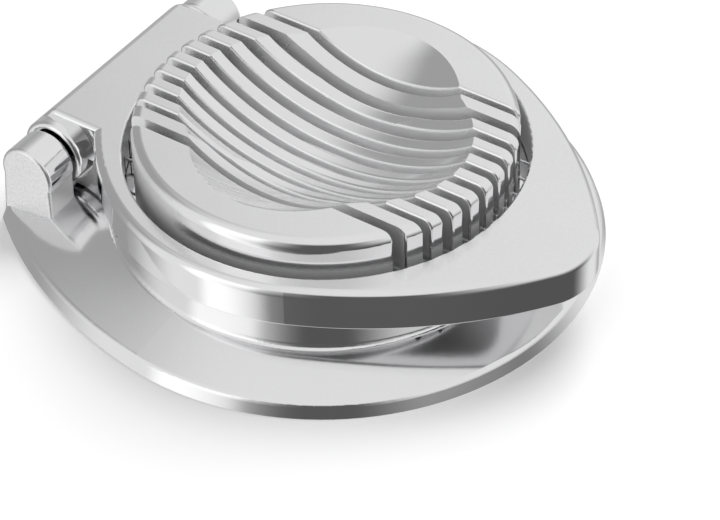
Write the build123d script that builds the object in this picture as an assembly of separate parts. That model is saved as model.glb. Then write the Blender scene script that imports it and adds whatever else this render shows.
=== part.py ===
from build123d import *
import math
import os

# An egg slicer of cast metal: a round base with a ribbed egg cup, and a wire frame hinged behind it.
# Millimetres, +Z up. The origin is on the axis of the cup, at table level. The nose of the frame
# points to -Y, and the hinge runs along X at the rear.

# Heights
rim_height = 3.0
frame_top = 22.85
frame_thickness = 9.2
drum_rise = 7.15
seat_gap = 0.2

# Base casting
base_radius = 58.1
base_flank_radius = 105.0
base_flank_start = 8.0
base_corner_round = 2.5
rear_margin = 0.3
rim_draft = 1.0
rim_round = 1.5
base_wall = 3.0
ledge_inset = 1.5
ledge_height = 6.3
ledge_foot_round = 1.2
arm_rest_inset = 0.6

# Drum and egg cup
drum_radius = 39.9
drum_edge_round = 2.2
cup_half_length = 32.0
cup_half_width = 25.5
cup_depth = 10.8
cup_cross_rise = 0.8
rib_round = 0.6

# Wires, their grooves and their end ferrules
wire_count = 10
wire_pitch = 4.88
wire_diameter = 0.6
wire_below_cup = 1.2
groove_width = 1.92
groove_below_wire = 1.3
slot_clearance = 0.1
seat_wall = 1.7
ferrule_diameter = 1.6
ferrule_length = 2.0
ferrule_clearance = 0.1
crimp_clearance = 0.02

# Slicing frame
hole_gap = 2.1
ring_width = 4.4
nose_reach = 63.2
nose_radius = 13.75
flank_radius = 102.0
rear_flank_radius = 60.0
rear_flank_start = 25.0
frame_top_round = 1.8
frame_bottom_round = 0.7
hole_edge_round = 0.5
arm_margin = 0.45
arm_edge_round = 1.0

# Hinge
arm_length = 6.3
hinge_drop = 9.1
shoulder_reach = 1.8
shoulder_round = 2.0
barrel_radius = 7.4
barrel_reach = 2.8
trough_gap = 0.8
lug_gap = 0.7
lug_thickness = 8.2
lug_radius = 6.4
lug_step = 0.4
lug_flare = 0.8
lug_edge_round = 0.8
pin_diameter = 5.0
pin_fixed_clearance = 0.01
pin_running_clearance = 0.05
pin_blind_wall = 3.0

# Heights and radii that follow from the sizes above
drum_top = frame_top + drum_rise
frame_bottom = frame_top - frame_thickness
ledge_top = frame_bottom - seat_gap
wire_z = drum_top - cup_depth - wire_below_cup
groove_floor = wire_z - groove_below_wire
hole_radius = drum_radius + hole_gap
frame_radius = hole_radius + ring_width
pedestal_radius = frame_radius - ledge_inset

# Places of the wires and of the hinge
wire_places = [(index - (wire_count - 1) / 2) * wire_pitch for index in range(wire_count)]
arm_half_width = max(wire_places) + arm_margin
hinge_y = frame_radius + arm_length
hinge_z = frame_top - hinge_drop
trough_radius = barrel_radius + trough_gap
barrel_end = arm_half_width + barrel_reach
lug_inner = barrel_end + lug_gap
lug_outer = lug_inner + lug_thickness

# Skirt of the base: how far it runs in and up, and the circles that the long flanks lie on
base_rear = hinge_y + lug_radius + lug_flare + rear_margin
skirt_run = base_radius - pedestal_radius
skirt_top = ledge_top - ledge_height
skirt_slope = math.atan2(skirt_top - rim_height, skirt_run - rim_draft)
wall_drop = base_wall / math.cos(skirt_slope)
flank_start_x = math.cos(math.radians(base_flank_start))
flank_start_y = math.sin(math.radians(base_flank_start))
base_flank_x = -(base_flank_radius - base_radius) * flank_start_x
base_flank_y = -(base_flank_radius - base_radius) * flank_start_y
rear_start_x = math.cos(math.radians(rear_flank_start))
rear_start_y = math.sin(math.radians(rear_flank_start))

# Radii of the round bars, and the way that upright solids stand on their place
pin_radius = pin_diameter / 2
wire_radius = wire_diameter / 2
ferrule_radius = ferrule_diameter / 2
standing = (Align.CENTER, Align.CENTER, Align.MIN)


def base_outline(inset, height):
    # Plan of the base drawn in by inset: a circle, and flatter flanks that run to two rear corners
    radius = base_radius - inset
    flank = base_flank_radius - inset
    rear = base_rear - inset
    touch = (radius * flank_start_x, radius * flank_start_y)
    corner = (base_flank_x + math.sqrt(flank**2 - (rear - base_flank_y) ** 2), rear)
    middle_y = (touch[1] + rear) / 2
    middle = (base_flank_x + math.sqrt(flank**2 - (middle_y - base_flank_y) ** 2), middle_y)
    plan = make_face(
        ThreePointArc((-touch[0], touch[1]), (0, -radius), touch)
        + ThreePointArc(touch, middle, corner)
        + Line(corner, (-corner[0], rear))
        + ThreePointArc((-corner[0], rear), (-middle[0], middle_y), (-touch[0], touch[1]))
    )
    rear_corners = plan.vertices().sort_by(Axis.Y)[-2:]
    return Pos(0, 0, height) * fillet(rear_corners, base_corner_round)


def along_x(radius, start, end):
    # A round bar on the hinge axis
    bar = Cylinder(radius, end - start)
    return Pos((start + end) / 2, hinge_y, hinge_z) * Rot(0, 90, 0) * bar


def along_y(radius, length, x, y):
    # A round bar at wire height
    bar = Cylinder(radius, length)
    return Pos(x, y, wire_z) * Rot(90, 0, 0) * bar


def ledge_outline(height):
    # Circle under the ledge, split where the sides of the base's plan face the same way as it does
    corner_turn = math.degrees(math.asin((base_rear - base_flank_y) / base_flank_radius))
    rear_turn = (corner_turn + 3 * 90) / 4
    turns = [base_flank_start, corner_turn, rear_turn, 180 - rear_turn, 180 - corner_turn]
    turns = turns + [180 - base_flank_start, 360 + base_flank_start]
    sides = [
        CenterArc((0, 0), pedestal_radius, start, end - start) for start, end in zip(turns, turns[1:])
    ]
    return Pos(0, 0, height) * make_face(sides)


def cone():
    # Slope of the base, from the top of its rim to the circle under the ledge
    return loft([base_outline(rim_draft, rim_height), ledge_outline(skirt_top)], ruled=True)


def skirt():
    # Slightly drafted rim and the cone above it, rounded where they meet
    body = loft([base_outline(0, 0), base_outline(rim_draft, rim_height)], ruled=True) + cone()
    break_edge = body.edges().filter_by_position(Axis.Z, rim_height - 0.01, rim_height + 0.01)
    return fillet(break_edge, rim_round)


def underside_cavity():
    # Hollow of the casting, one wall thickness inside the skirt and the drum, and clear of the hinge
    inside = extrude(base_outline(base_wall, -base_wall), base_wall + skirt_top)
    hollow = inside & Pos(0, 0, -wall_drop) * cone()
    hollow += Cylinder(pedestal_radius - base_wall, ledge_top - base_wall, align=standing)
    core = Cylinder(drum_radius - base_wall, groove_floor - base_wall, align=standing)
    cavity_rear = hinge_y - trough_radius - base_wall
    behind = Pos(0, cavity_rear, 0) * Box(
        4 * base_radius, 2 * base_rear, 2 * drum_top, align=(Align.CENTER, Align.MIN, Align.CENTER)
    )
    return hollow - behind + core


def cup_cutter(turn, depth):
    # An egg lying on its side: an ellipsoid whose section at the drum's top is the rim of the cup
    round_radius = (cup_half_width**2 + depth**2) / (2 * depth)
    long_radius = cup_half_length * round_radius / cup_half_width
    profile = make_face(
        EllipticalCenterArc((0, 0), long_radius, round_radius, start_angle=0, arc_size=180)
        + Line((-long_radius, 0), (long_radius, 0))
    )
    egg = revolve(profile, Axis.X)
    return Pos(0, 0, drum_top + round_radius - depth) * Rot(0, 0, turn) * egg


def rib(block, start, end):
    # The part of the block between two grooves, its upper edges rounded where its size allows that
    slab = Box(end - start, 2 * hole_radius, drum_top, align=(Align.MIN, Align.CENTER, Align.MIN))
    bar = block & Pos(start, 0, groove_floor) * slab
    rims = bar.edges().filter_by(lambda edge: edge.center().Z > groove_floor + 0.01)
    rims = rims.filter_by(lambda edge: edge.bounding_box().size.X < 0.01)
    rims = rims.filter_by(lambda edge: min(abs(edge.center().X - start), abs(edge.center().X - end)) < 0.01)
    try:
        return fillet(rims, rib_round)
    except (ValueError, RuntimeError):
        return bar


def drum():
    # Round block with the cup for an egg lengthwise or crosswise, parted into ribs by the wires' grooves
    block = Cylinder(drum_radius, drum_top, align=standing)
    block = fillet(block.edges().sort_by(Axis.Z)[-1], drum_edge_round)
    block = block - cup_cutter(90, cup_depth) - cup_cutter(0, cup_depth - cup_cross_rise)
    body = Cylinder(drum_radius, groove_floor, align=standing)
    starts = [x + groove_width / 2 for x in wire_places]
    ends = [x - groove_width / 2 for x in wire_places[1:]] + [hole_radius]
    for start, end in zip(starts, ends):
        if end > 0:
            right = rib(block, start, end)
            body += right
            if start > 0:
                body += mirror(right, Plane.YZ)
    return body


def lug(start):
    # Upright ear: a round head on the hinge axis, and a slightly narrower pillar whose back flares
    neck = lug_radius - lug_step
    pillar_side = Polyline(
        (hinge_y + neck, hinge_z),
        (hinge_y + lug_radius + lug_flare, 0),
        (hinge_y - neck, 0),
        (hinge_y - neck, hinge_z),
        close=True,
    )
    pillar = extrude(Plane.YZ * make_face(pillar_side), lug_thickness)
    uprights = pillar.edges().filter_by(lambda edge: abs(edge.tangent_at(0.5).Z) > 0.5)
    pillar = fillet(uprights, lug_edge_round)
    head = along_x(lug_radius, 0, lug_thickness)
    head = fillet(head.edges().filter_by(GeomType.CIRCLE), lug_edge_round)
    return Pos(start, 0, 0) * (pillar + head)


def base_casting():
    # Skirt, ledge, drum and hinge lugs in one piece, with a trough for the barrel of the frame
    ledge = Cylinder(pedestal_radius, ledge_top, align=standing)
    rest_width = 2 * (arm_half_width - arm_rest_inset)
    arm_rest = Box(rest_width, hinge_y, ledge_top, align=(Align.CENTER, Align.MIN, Align.MIN))
    body = skirt() + ledge
    foot = body.edges().filter_by_position(Axis.Z, skirt_top - 0.01, skirt_top + 0.01)
    body = fillet(foot, ledge_foot_round) + arm_rest + drum()
    body -= along_x(trough_radius, -lug_inner, lug_inner)
    body = body + lug(lug_inner) + lug(-lug_outer)
    body -= underside_cavity()
    bore = along_x(pin_radius + pin_fixed_clearance, pin_blind_wall - lug_outer, lug_outer + lug_gap)
    return body - bore


def rear_flank(x):
    # Distance behind the origin of the frame's rear flank at x
    centre_x = (frame_radius - rear_flank_radius) * rear_start_x
    centre_y = (frame_radius - rear_flank_radius) * rear_start_y
    return centre_y + math.sqrt(rear_flank_radius**2 - (x - centre_x) ** 2)


def frame_outline():
    # Plan of the ring and its nose: front flanks touch the ring and the nose, rear ones run into the arm
    ring_run = flank_radius - frame_radius
    nose_run = flank_radius - nose_radius
    nose_y = nose_radius - nose_reach
    centre_y = (nose_y**2 - nose_run**2 + ring_run**2) / (2 * nose_y)
    centre_x = math.sqrt(ring_run**2 - centre_y**2)
    ring_scale = frame_radius / ring_run
    nose_scale = nose_radius / nose_run
    ring_x, ring_y = centre_x * ring_scale, -centre_y * ring_scale
    tip_x, tip_y = centre_x * nose_scale, nose_y + (nose_y - centre_y) * nose_scale
    middle = Vector(ring_x + tip_x + 2 * centre_x, ring_y + tip_y - 2 * centre_y).normalized()
    flank_x = middle.X * flank_radius - centre_x
    flank_y = middle.Y * flank_radius + centre_y
    meet_x, meet_y = frame_radius * rear_start_x, frame_radius * rear_start_y
    half_turn = (math.atan2(ring_y, ring_x) + math.radians(rear_flank_start)) / 2
    side_x, side_y = frame_radius * math.cos(half_turn), frame_radius * math.sin(half_turn)
    rear_x = arm_half_width - frame_top_round
    bulge_x = (meet_x + rear_x) / 2
    rear_y, bulge_y = rear_flank(rear_x), rear_flank(bulge_x)
    return make_face(
        ThreePointArc((ring_x, ring_y), (side_x, side_y), (meet_x, meet_y))
        + ThreePointArc((meet_x, meet_y), (bulge_x, bulge_y), (rear_x, rear_y))
        + Line((rear_x, rear_y), (-rear_x, rear_y))
        + ThreePointArc((-rear_x, rear_y), (-bulge_x, bulge_y), (-meet_x, meet_y))
        + ThreePointArc((-meet_x, meet_y), (-side_x, side_y), (-ring_x, ring_y))
        + ThreePointArc((ring_x, ring_y), (flank_x, flank_y), (tip_x, tip_y))
        + ThreePointArc((tip_x, tip_y), (0, -nose_reach), (-tip_x, tip_y))
        + ThreePointArc((-tip_x, tip_y), (-flank_x, flank_y), (-ring_x, ring_y))
    )


def arm():
    # Rear arm whose shoulder drops onto the hinge barrel, which stands out of it at both sides
    shoulder = math.hypot(shoulder_reach, hinge_drop)
    touch_turn = math.atan2(hinge_drop, shoulder_reach) - math.acos(barrel_radius / shoulder)
    touch_y = hinge_y + barrel_radius * math.cos(touch_turn)
    touch_z = hinge_z + barrel_radius * math.sin(touch_turn)
    profile = Polyline(
        (0, frame_bottom),
        (hinge_y, frame_bottom),
        (touch_y, touch_z),
        (hinge_y + shoulder_reach, frame_top),
        (0, frame_top),
        close=True,
    )
    body = extrude(Plane.YZ * make_face(profile), arm_half_width, both=True)
    top_edges = body.edges().filter_by_position(Axis.Z, frame_top - 0.01, frame_top + 0.01)
    body = fillet(top_edges.sort_by(Axis.Y)[-1], shoulder_round)
    sides = body.edges().filter_by(lambda edge: abs(abs(edge.center().X) - arm_half_width) < 0.01)
    sides = sides.filter_by(lambda edge: edge.center().Z > frame_bottom + frame_thickness / 2)
    body = fillet(sides.filter_by(lambda edge: edge.center().Y > 0.01), arm_edge_round)
    barrel = along_x(barrel_radius, -barrel_end, barrel_end)
    return body + fillet(barrel.edges().filter_by(GeomType.CIRCLE), arm_edge_round)


def wire_seat(x, side):
    # Slot for a wire and pocket for its ferrule, cut up from the underside of the frame
    slot_width = wire_diameter + 2 * slot_clearance
    slot_top = wire_z + wire_radius + slot_clearance
    pocket_width = ferrule_diameter + 2 * ferrule_clearance
    pocket_top = wire_z + ferrule_radius + ferrule_clearance
    seat_y = wire_end(x)
    slot = Box(
        slot_width,
        hole_gap + seat_wall,
        slot_top - ledge_top,
        align=(Align.CENTER, Align.MAX, Align.MIN),
    )
    pocket = Box(
        pocket_width,
        ferrule_length + ferrule_clearance,
        pocket_top - ledge_top,
        align=(Align.CENTER, Align.MIN, Align.MIN),
    )
    seat = Pos(x, seat_y, ledge_top) * (slot + pocket)
    return seat if side > 0 else mirror(seat, Plane.XZ)


def wire_end(x):
    # Where a wire's ferrule seats, past the wall of the frame's hole
    return math.sqrt(hole_radius**2 - x**2) + seat_wall


def slicing_frame():
    # Ring, nose, arm and barrel in one piece, with a seat for each end of each wire
    plate = Pos(0, 0, frame_bottom) * extrude(frame_outline(), frame_thickness)
    rims = plate.edges().filter_by(lambda edge: abs(edge.tangent_at(0.5).Z) < 0.5)
    plate = fillet(rims.filter_by(lambda edge: edge.center().Z < hinge_z), frame_bottom_round)
    rims = plate.edges().filter_by_position(Axis.Z, frame_top - 0.01, frame_top + 0.01)
    plate = fillet(rims, frame_top_round)
    body = plate + arm()
    body -= Pos(0, 0, ledge_top) * Cylinder(hole_radius, frame_thickness + drum_rise, align=standing)
    mouth = body.edges().filter_by(GeomType.CIRCLE)
    mouth = mouth.filter_by(lambda edge: abs(edge.radius - hole_radius) < 0.001)
    body = fillet(mouth, hole_edge_round)
    body -= along_x(pin_radius + pin_running_clearance, -lug_inner, lug_inner)
    for x in wire_places:
        body = body - wire_seat(x, 1) - wire_seat(x, -1)
    return body


def hinge_pin():
    # Plain rod, blind in the left lug and flush with the right one
    return along_x(pin_radius, pin_blind_wall - lug_outer, lug_outer)


def cutting_wire(x):
    # Straight wire from the end of one ferrule to the end of the other
    return along_y(wire_radius, 2 * (wire_end(x) + ferrule_length), x, 0)


def ferrule(x, side):
    # Sleeve crimped on a wire's end
    y = side * (wire_end(x) + ferrule_length / 2)
    sleeve = along_y(ferrule_radius, ferrule_length, x, y)
    return sleeve - along_y(wire_radius + crimp_clearance, 2 * ferrule_length, x, y)


os.makedirs("parts", exist_ok=True)
export_step(base_casting(), "parts/base_casting.step")
export_step(slicing_frame(), "parts/slicing_frame.step")
export_step(hinge_pin(), "parts/hinge_pin.step")
for number, place in enumerate(wire_places, start=1):
    export_step(cutting_wire(place), f"parts/cutting_wire_{number:02d}.step")
    export_step(ferrule(place, -1), f"parts/front_ferrule_{number:02d}.step")
    export_step(ferrule(place, 1), f"parts/rear_ferrule_{number:02d}.step")
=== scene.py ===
import math
import bpy
from mathutils import Matrix, Vector

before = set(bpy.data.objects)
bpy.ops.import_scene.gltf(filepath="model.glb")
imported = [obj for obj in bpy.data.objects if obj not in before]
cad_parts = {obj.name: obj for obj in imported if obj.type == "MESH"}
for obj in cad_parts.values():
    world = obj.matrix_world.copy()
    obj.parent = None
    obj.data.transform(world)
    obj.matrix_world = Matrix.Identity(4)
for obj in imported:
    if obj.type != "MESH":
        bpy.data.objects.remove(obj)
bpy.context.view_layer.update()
print("frame loaded:", len(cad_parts), "nodes")

mm = 0.001


# A socket that can be used in sums; each sum adds its Math node
class Value:
    def __init__(self, graph, socket):
        self.graph = graph
        self.socket = socket

    def calc(self, operation, *others):
        values = {place: other for place, other in enumerate((self,) + others)}
        return self.graph.add("ShaderNodeMath", {"operation": operation}, values)

    def __add__(self, other):
        return self.calc("ADD", other)

    def __sub__(self, other):
        return self.calc("SUBTRACT", other)

    def __mul__(self, other):
        return self.calc("MULTIPLY", other)

    def __truediv__(self, other):
        return self.calc("DIVIDE", other)

    def __rsub__(self, other):
        return (self * -1.0).calc("ADD", other)

    __radd__ = __add__
    __rmul__ = __mul__

    def between(self, low, high):    # 0 below low, 1 above high, smooth between
        ends = {"Value": self, "From Min": low, "From Max": high}
        return self.graph.add("ShaderNodeMapRange", {"interpolation_type": "SMOOTHSTEP"}, ends)

    def near(self, place, reach, soft):    # 1 within reach of a place, fading over soft
        return 1.0 - (self - place).calc("ABSOLUTE").between(reach, reach + soft)

    def blend(self, other, share):    # this number where share is 0, the other one where it is 1
        ends = {"Factor": share, 2: self, 3: other}
        return self.graph.add("ShaderNodeMix", {"data_type": "FLOAT"}, ends)

    def parts(self):
        split = self.graph.add("ShaderNodeSeparateXYZ", {}, {0: self}).socket.node
        return [Value(self.graph, out) for out in split.outputs]


class Graph:
    def __init__(self, owner):
        owner.use_nodes = True
        self.tree = owner.node_tree
        self.tree.nodes.clear()

    def add(self, kind, settings, sockets, out=0):
        node = self.tree.nodes.new(kind)
        for key, setting in settings.items():
            setattr(node, key, setting)
        for key, value in sockets.items():
            if isinstance(value, Value):
                self.tree.links.new(value.socket, node.inputs[key])
            else:
                node.inputs[key].default_value = value
        return Value(self, node.outputs[out]) if len(node.outputs) else node


# Camera at the photograph's view
camera = {
    "aim": (-26.44 * mm, -26.36 * mm, 22.85 * mm),
    "azimuth": -54.955,
    "elevation": 41.216,
    "distance": 620.96 * mm,
    "roll": -1.24,
    "lens": 157.83,
    "sensor": 36.0,
    "clip": (0.01, 20.0),
}


def placeCamera(p):
    turn, lift, roll = (math.radians(p[key]) for key in ("azimuth", "elevation", "roll"))
    back = Vector((math.sin(turn) * math.cos(lift), -math.cos(turn) * math.cos(lift), math.sin(lift)))
    level = Vector((math.cos(turn), math.sin(turn), 0.0))
    upright = back.cross(level)
    right = level * math.cos(roll) + upright * math.sin(roll)
    up = upright * math.cos(roll) - level * math.sin(roll)
    data = bpy.data.cameras.new("photoCamera")
    data.sensor_width = p["sensor"]
    data.sensor_fit = "HORIZONTAL"
    data.lens = p["lens"]
    data.clip_start, data.clip_end = p["clip"]
    eye = bpy.data.objects.new("photoCamera", data)
    bpy.context.scene.collection.objects.link(eye)
    turned = Matrix((right, up, back)).transposed().to_4x4()
    eye.matrix_world = Matrix.Translation(Vector(p["aim"]) + back * p["distance"]) @ turned
    bpy.context.scene.camera = eye


placeCamera(camera)
print("camera placed")


def places(g):    # a point of the part in mm, and the way that its face looks
    x, y, z = (place / mm for place in g.add("ShaderNodeTexCoord", {}, {}, "Object").parts())
    facing = g.add("ShaderNodeTexCoord", {}, {}, "Normal").parts()
    return x, y, z, facing


def grain(g, scale, detail, stretch=(1, 1, 1)):    # noise around 0, from -0.5 to 0.5
    spot = g.add("ShaderNodeTexCoord", {}, {}, "Object")
    spot = g.add("ShaderNodeVectorMath", {"operation": "MULTIPLY"}, {0: spot, 1: stretch})
    return g.add("ShaderNodeTexNoise", {}, {"Vector": spot, "Scale": scale, "Detail": detail}) - 0.5


def finishMetal(g, p, rough, metallic, height, specksAndPaintedShade=0.0):
    # Colour level: random clouds, plus the given specks and painted shade
    level = p["bright"] + grain(g, **p["clouds"]) * p["cloud"] + specksAndPaintedShade
    ends = {"Factor": level, 6: p["dark"], 7: p["light"]}
    colour = g.add("ShaderNodeMix", {"data_type": "RGBA"}, ends, 2)
    bump = g.add("ShaderNodeBump", {}, {"Strength": 1.0, "Distance": 1.0, "Height": height})
    sockets = {"Base Color": colour, "Metallic": metallic, "Roughness": rough, "Normal": bump}
    shader = g.add("ShaderNodeBsdfPrincipled", {}, sockets)
    g.add("ShaderNodeOutputMaterial", {}, {"Surface": shader})


# Cast and polished aluminium: satin flats, polished walls, half-satin slope, streaked ribs, blasted lugs
castLooks = {
    "dark": (0.25, 0.25, 0.255, 1.0),
    "light": (0.97, 0.97, 0.975, 1.0),
    "bright": 0.92,
    "cloud": 0.07,
    "speckTone": 0.08,
    "blastTone": 0.45,
    "dulling": 0.5,    # how much less metallic the as-cast faces are
    "satin": 0.16,     # roughness of each finish
    "polish": 0.06,
    "groove": 0.12,
    "blast": 0.36,
    "asCast": 0.32,
    "patchy": 0.04,    # how far the roughness varies
    "streaky": 0.08,
    "speckle": 0.000002,    # heights of the bumps in metres
    "blastDepth": 0.000018,
    "streak": 0.000003,
    "brush": 0.0000025,
    "dent": 0.000008,
    "wave": 0.00005,
    "clouds": {"scale": 60.0, "detail": 2.0},
    "patches": {"scale": 900.0, "detail": 2.0},
    "specks": {"scale": 1700.0, "detail": 1.0},
    "streaks": {"scale": 1800.0, "detail": 2.0, "stretch": (1, 0.03, 0.4)},
    "brushing": {"scale": 1500.0, "detail": 3.0, "stretch": (0.04, 0.04, 1)},
    "dents": {"scale": 220.0, "detail": 2.0},
    "waves": {"scale": 45.0, "detail": 1.0},
}


def castMetal(name, p, masks, marks):
    material = bpy.data.materials.new(name)
    g = Graph(material)
    x, y, z, facing = places(g)
    reach = (x * x + y * y).calc("SQRT")    # distance from the cup's axis
    outward = (x * facing[0] + y * facing[1]) / reach
    share = {"groove": 0.0, "blast": 0.0, "paintedShade": 0.0}
    share.update(masks(marks, x, y, z, facing, reach, outward))
    flat, groove, blast, asCast = (share[key] for key in ("flat", "groove", "blast", "asCast"))
    streaks = grain(g, **p["streaks"])
    specks = grain(g, **p["specks"])
    rough = flat * (p["satin"] - p["polish"]) + p["polish"]
    rough = rough.blend(p["groove"], groove).blend(p["blast"], blast).blend(p["asCast"], asCast)
    rough = rough + grain(g, **p["patches"]) * p["patchy"] + streaks * groove * p["streaky"]
    polished = grain(g, **p["brushing"]) * p["brush"] + grain(g, **p["dents"]) * p["dent"]
    height = specks * (flat * p["speckle"] + blast * p["blastDepth"]) + streaks * groove * p["streak"]
    height = height + grain(g, **p["waves"]) * p["wave"] + polished * (1.0 - flat)
    # Random speck tone on flats and lugs, minus the painted shade from the masks
    specksAndPaintedShade = specks * (flat * p["speckTone"] + blast * p["blastTone"]) - share["paintedShade"]
    finishMetal(g, p, rough, 1.0 - asCast * p["dulling"], height, specksAndPaintedShade)
    return material


# Where the base's finishes start and are full: slants as parts of the normal, places in mm
baseMarks = {
    "level": (0.90, 0.97),
    "gentle": (0.80, 0.92),
    "upward": (0.80, 0.90),
    "sideways": (0.75, 0.95),
    "wallOutward": (0.70, 0.80),
    "plateau": (28.5, 29.5),    # heights
    "slopeTop": (9.0, 10.0),
    "drumFoot": (16.0, 16.5),
    "grooveFloor": (17.0, 17.2),
    "ribTop": (29.4, 29.7),
    "ledgeTop": (13.2, 13.6),
    "gapTop": (22.5, 24.0),
    "lugFoot": (4.0, 6.0),
    "hingeFoot": (3.6, 4.2),
    "cup": (26.0, 34.0),    # distances from the cup's axis
    "ribEnds": (39.2, 39.4),
    "drumEdge": (40.8, 42.0),
    "lugFace": (33.5, 33.8),    # sideways and rearward places
    "lugFront": (44.0, 46.0),
    "hingeFront": (38.5, 39.5),
    "gapRear": (4.0, 12.0),
    "slopeSatin": 0.5,    # shares of a finish
    "ribSide": 0.4,
    "cupSide": 0.55,
}


def baseMasks(p, x, y, z, facing, reach, outward):
    plateau = facing[2].between(*p["level"]) * z.between(*p["plateau"])
    slope = facing[2].between(*p["gentle"]) * (1.0 - z.between(*p["slopeTop"]))
    inDrum = z.between(*p["drumFoot"]) * (1.0 - reach.between(*p["ribEnds"]))
    inCup = 1.0 - reach.between(*p["cup"])
    ribs = inDrum * (1.0 - z.between(*p["ribTop"]))
    sides = facing[0].calc("ABSOLUTE").between(*p["sideways"])
    sides = sides.calc("MAXIMUM", 1.0 - z.between(*p["grooveFloor"]))
    sides = inDrum * sides * (inCup * p["cupSide"] + p["ribSide"])
    lugs = x.calc("ABSOLUTE").between(*p["lugFace"]) * y.between(*p["lugFront"]) * z.between(*p["lugFoot"])
    hinge = y.between(*p["hingeFront"]) * (z.between(*p["hingeFoot"]) - z.between(*p["ledgeTop"]))
    hinge = hinge * (1.0 - facing[2].between(*p["upward"])) * (1.0 - lugs)
    wall = outward.between(*p["wallOutward"]) * (1.0 - reach.between(*p["drumEdge"]))
    inGap = z.between(*p["ledgeTop"]) - z.between(*p["gapTop"])
    gap = wall * inGap.blend(1.0, y.between(*p["gapRear"]))
    flat = plateau.calc("MAXIMUM", slope * p["slopeSatin"])
    asCast = hinge.calc("MAXIMUM", sides).calc("MAXIMUM", gap)
    return {"flat": flat, "groove": ribs, "blast": lugs, "asCast": asCast}


# The same for the frame, with painted shade: a darker base colour on its downward faces and its hole wall
frameMarks = {
    "level": (0.90, 0.97),
    "inward": (-0.80, -0.70),
    "downward": (-0.90, -0.60),
    "top": (21.5, 22.5),    # height
    "holeEdge": (42.4, 42.8),    # distance from the cup's axis
    # How much painted shade darkens the downward faces and the hole wall
    "paintedUnderShade": 0.25,
    "paintedHoleShade": 0.5,
}


def frameMasks(p, x, y, z, facing, reach, outward):
    flat = facing[2].between(*p["level"]) * z.between(*p["top"])
    hole = (1.0 - outward.between(*p["inward"])) * (1.0 - reach.between(*p["holeEdge"]))
    # Painted shade: the downward faces and the hole wall get a darker base colour
    paintedShadeUnder = (1.0 - facing[2].between(*p["downward"])) * p["paintedUnderShade"]
    return {"flat": flat, "asCast": hole, "paintedShade": paintedShadeUnder.calc("MAXIMUM", hole * p["paintedHoleShade"])}


looks = {
    "base_casting": castMetal("castBase", castLooks, baseMasks, baseMarks),
    "slicing_frame": castMetal("castFrame", castLooks, frameMasks, frameMarks),
}

# Drawn and turned steel of the wires, ferrules and pin
steelLooks = {
    "wire": {"dark": (0.45, 0.45, 0.46, 1), "light": (0.9, 0.9, 0.91, 1), "bright": 0.8, "rough": 0.16},
    "ferrule": {"dark": (0.35, 0.35, 0.36, 1), "light": (0.8, 0.8, 0.81, 1), "bright": 0.7, "rough": 0.3},
    "pin": {"dark": (0.40, 0.40, 0.41, 1), "light": (0.85, 0.85, 0.86, 1), "bright": 0.75, "rough": 0.2},
}
steelGrain = {
    "cloud": 0.3,
    "patchy": 0.1,
    "scratch": 0.000003,    # height in metres
    "clouds": {"scale": 300.0, "detail": 2.0},
    "patches": {"scale": 700.0, "detail": 2.0},
    "scratches": {"scale": 1500.0, "detail": 2.0},
}


def steel(name, p):
    material = bpy.data.materials.new(name)
    g = Graph(material)
    rough = grain(g, **p["patches"]) * p["patchy"] + p["rough"]
    finishMetal(g, p, rough, 1.0, grain(g, **p["scratches"]) * p["scratch"])
    return material


steels = {name: steel(name + "Steel", {**steelGrain, **p}) for name, p in steelLooks.items()}
for name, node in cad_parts.items():
    kind = "wire" if "wire" in name else "ferrule" if "ferrule" in name else "pin"
    node.data.materials.clear()
    node.data.materials.append(looks.get(name) or steels[kind])
print("materials set:", len(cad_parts))

# Pale studio with soft cards; a card's turn is in degrees from +X, its top a height in the dome
studio = {
    "room": 0.79,
    "overhead": 0.78,
    "overheadFrom": (0.70, 0.83),
    "cards": [
        {"turn": 80, "half": 22, "soft": 28, "top": (0.66, 0.98), "level": 0.36},
        {"turn": 164, "half": 13, "soft": 9, "top": (0.55, 0.75), "level": 1.1},
        {"turn": 30, "half": 22, "soft": 22, "top": (-0.08, 0.36), "level": 0.45},
        {"turn": -115, "half": 42, "soft": 46, "top": (-0.45, 0.36), "level": 0.09},
        {"turn": -147, "half": 8, "soft": 32, "top": (0.45, 0.75), "level": 0.10},
    ],
}


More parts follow.
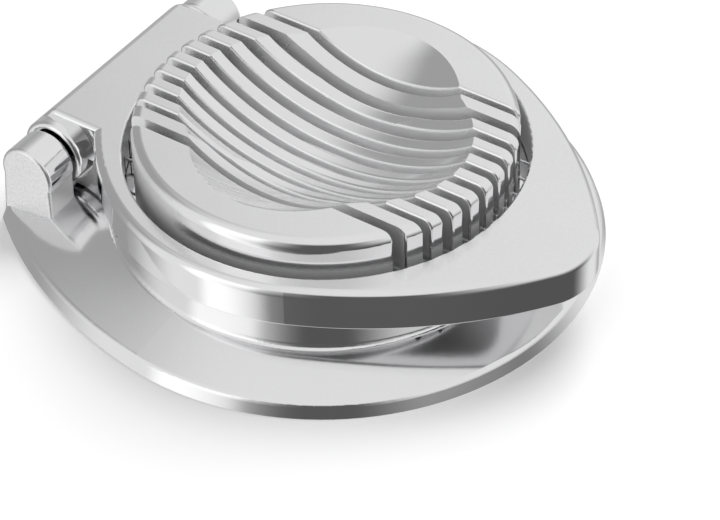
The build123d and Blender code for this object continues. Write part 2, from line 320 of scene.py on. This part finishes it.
def studioWorld(p):
    world = bpy.data.worlds.new("studio")
    bpy.context.scene.world = world
    g = Graph(world)
    x, y, z = g.add("ShaderNodeTexCoord", {}, {}, "Generated").parts()
    compass = y.calc("ARCTAN2", x) * (180 / math.pi)

    def grey(level):
        return (level, level, level, 1)

    def mix(first, second, share):
        return g.add("ShaderNodeMix", {"data_type": "RGBA"}, {"Factor": share, 6: first, 7: second}, 2)

    dome = mix(grey(p["room"]), grey(p["overhead"]), z.between(*p["overheadFrom"]))
    for card in p["cards"]:
        aside = (compass + (540 - card["turn"])).calc("FLOORED_MODULO", 360) - 180    # from -180 to 180
        share = aside.near(0, card["half"], card["soft"]) * (1.0 - z.between(*card["top"]))
        dome = mix(dome, grey(card["level"]), share)
    seen = g.add("ShaderNodeLightPath", {}, {}, "Is Camera Ray")
    sky = g.add("ShaderNodeBackground", {}, {"Color": mix(dome, grey(1), seen), "Strength": 1.0})
    g.add("ShaderNodeOutputWorld", {}, {"Surface": sky})


studioWorld(studio)

# Soft lamp at the far right of the view, so the shadow falls to the near left
lamp = {"energy": 9.0, "size": 0.7, "place": (0.75, 0.0, 0.9)}


def placeLamp(p):
    data = bpy.data.lights.new("softLamp", "AREA")
    data.energy = p["energy"]
    data.size = p["size"]
    light = bpy.data.objects.new("softLamp", data)
    light.location = p["place"]
    light.rotation_euler = Vector(p["place"]).to_track_quat("Z", "Y").to_euler()
    light.visible_glossy = False
    bpy.context.scene.collection.objects.link(light)


placeLamp(lamp)

floorLooks = {"reach": 3.0, "colour": (0.95, 0.95, 0.95, 1)}


def placeFloor(p):
    reach = p["reach"]
    mesh = bpy.data.meshes.new("floor")
    corners = [(-reach, -reach, 0), (reach, -reach, 0), (reach, reach, 0), (-reach, reach, 0)]
    mesh.from_pydata(corners, [], [(0, 1, 2, 3)])
    floor = bpy.data.objects.new("floor", mesh)
    bpy.context.scene.collection.objects.link(floor)
    paint = bpy.data.materials.new("floorPaint")
    g = Graph(paint)
    matt = g.add("ShaderNodeBsdfDiffuse", {}, {"Color": p["colour"]})
    g.add("ShaderNodeOutputMaterial", {}, {"Surface": matt})
    mesh.materials.append(paint)
    floor.visible_glossy = False


placeFloor(floorLooks)
bpy.context.scene.view_settings.view_transform = "Standard"
print("studio set")
